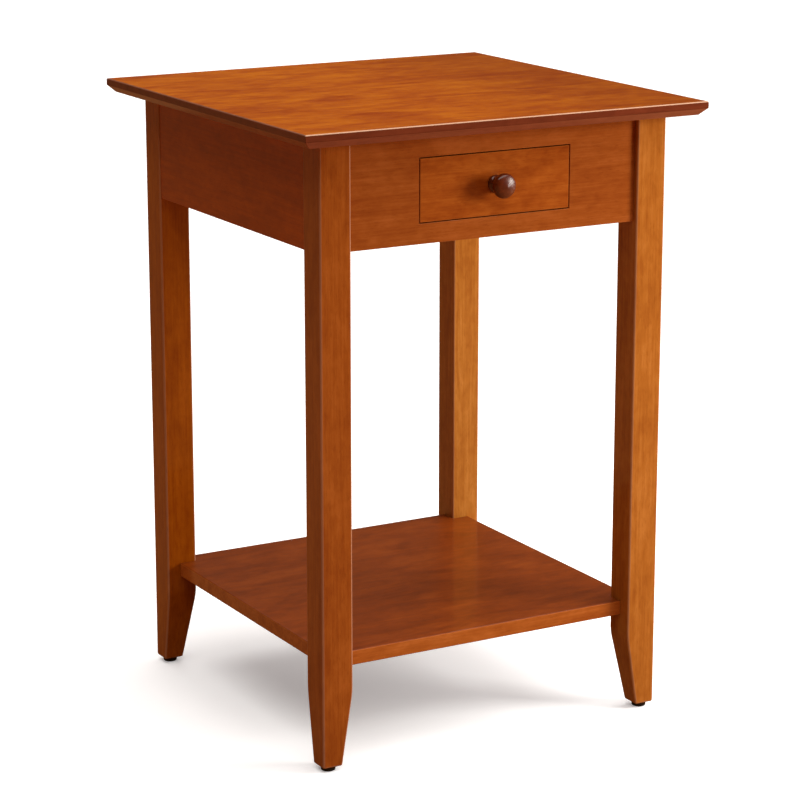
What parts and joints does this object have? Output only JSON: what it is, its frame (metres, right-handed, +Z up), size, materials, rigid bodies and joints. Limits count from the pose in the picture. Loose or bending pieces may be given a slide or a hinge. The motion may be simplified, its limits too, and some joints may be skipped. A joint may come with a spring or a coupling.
{
  "type": "side table with drawer",
  "caption": "Square side table: bevelled top, inner-tapered square legs, apron with a small sliding drawer and turned knob, and a notched lower shelf.",
  "frame": {"origin": "on the floor, under the middle of the table", "axes": "+Z up, -Y out of the drawer's face, +X to the right of someone facing the drawer"},
  "size_m": [0.43, 0.43, 0.61],
  "materials": {
    "stained_top": "orange-brown cherry stain under satin lacquer, soft figure",
    "stained_legs": "red-brown cherry stain under satin lacquer, grain along the leg",
    "stained_aprons": "red-brown cherry stain under satin lacquer, fine level grain",
    "stained_shelf": "orange-brown cherry stain under satin lacquer",
    "stained_drawer_front": "orange-brown cherry stain under satin lacquer, soft mottling",
    "stained_knob": "dark red-brown stain under glossy lacquer",
    "plain_wood": "unfinished softwood, sawn and planed",
    "drawer_box_wood": "pale hardwood, thin clear sealer",
    "fibreboard": "thin brown fibreboard, smooth face",
    "dowel_wood": "beech, unfinished",
    "steel": "zinc-plated steel",
    "glide_plastic": "black moulded plastic",
    "button_plastic": "tan moulded plastic"
  },
  "bodies": {
    "frame": {"apron_dowels": "dowel_wood", "back_apron": "stained_aprons", "block_screws": "steel", "corner_block_back_left": "plain_wood", "corner_block_back_right": "plain_wood", "corner_block_front_left": "plain_wood", "corner_block_front_right": "plain_wood", "front_apron": "stained_aprons", "glide_back_left": "glide_plastic", "glide_back_right": "glide_plastic", "glide_front_left": "glide_plastic", "glide_front_right": "glide_plastic", "kicker_screws": "steel", "left_apron": "stained_aprons", "left_kicker": "plain_wood", "left_runner": "plain_wood", "left_stop": "plain_wood", "leg_back_left": "stained_legs", "leg_back_right": "stained_legs", "leg_bolts": "steel", "leg_front_left": "stained_legs", "leg_front_right": "stained_legs", "leg_nuts": "steel", "leg_washers": "steel", "right_apron": "stained_aprons", "right_kicker": "plain_wood", "right_runner": "plain_wood", "right_stop": "plain_wood", "runner_dowels": "dowel_wood", "shelf": "stained_shelf", "shelf_dowels": "dowel_wood", "tabletop": "stained_top", "top_screws": "steel"},
    "drawer": {"drawer_front": "stained_drawer_front", "drawer_left_side": "drawer_box_wood", "drawer_right_side": "drawer_box_wood", "drawer_back": "drawer_box_wood", "drawer_bottom": "fibreboard", "knob": "stained_knob", "knob_screw": "steel", "front_dowels": "dowel_wood", "back_pins": "steel", "button_screw": "steel"},
    "catch": {"turn_button": "button_plastic"}
  },
  "joints": [
    {"name": "drawer_slide", "type": "slide", "parent": "frame", "child": "drawer", "axis": [0, -1, 0], "range_m": [0, 0.267]},
    {"name": "button_turn", "type": "hinge", "parent": "drawer", "child": "catch", "pos_m": [0, 0.1051, 0.555], "axis": [0, 1, 0], "range_deg": [0, 90]}
  ]
}
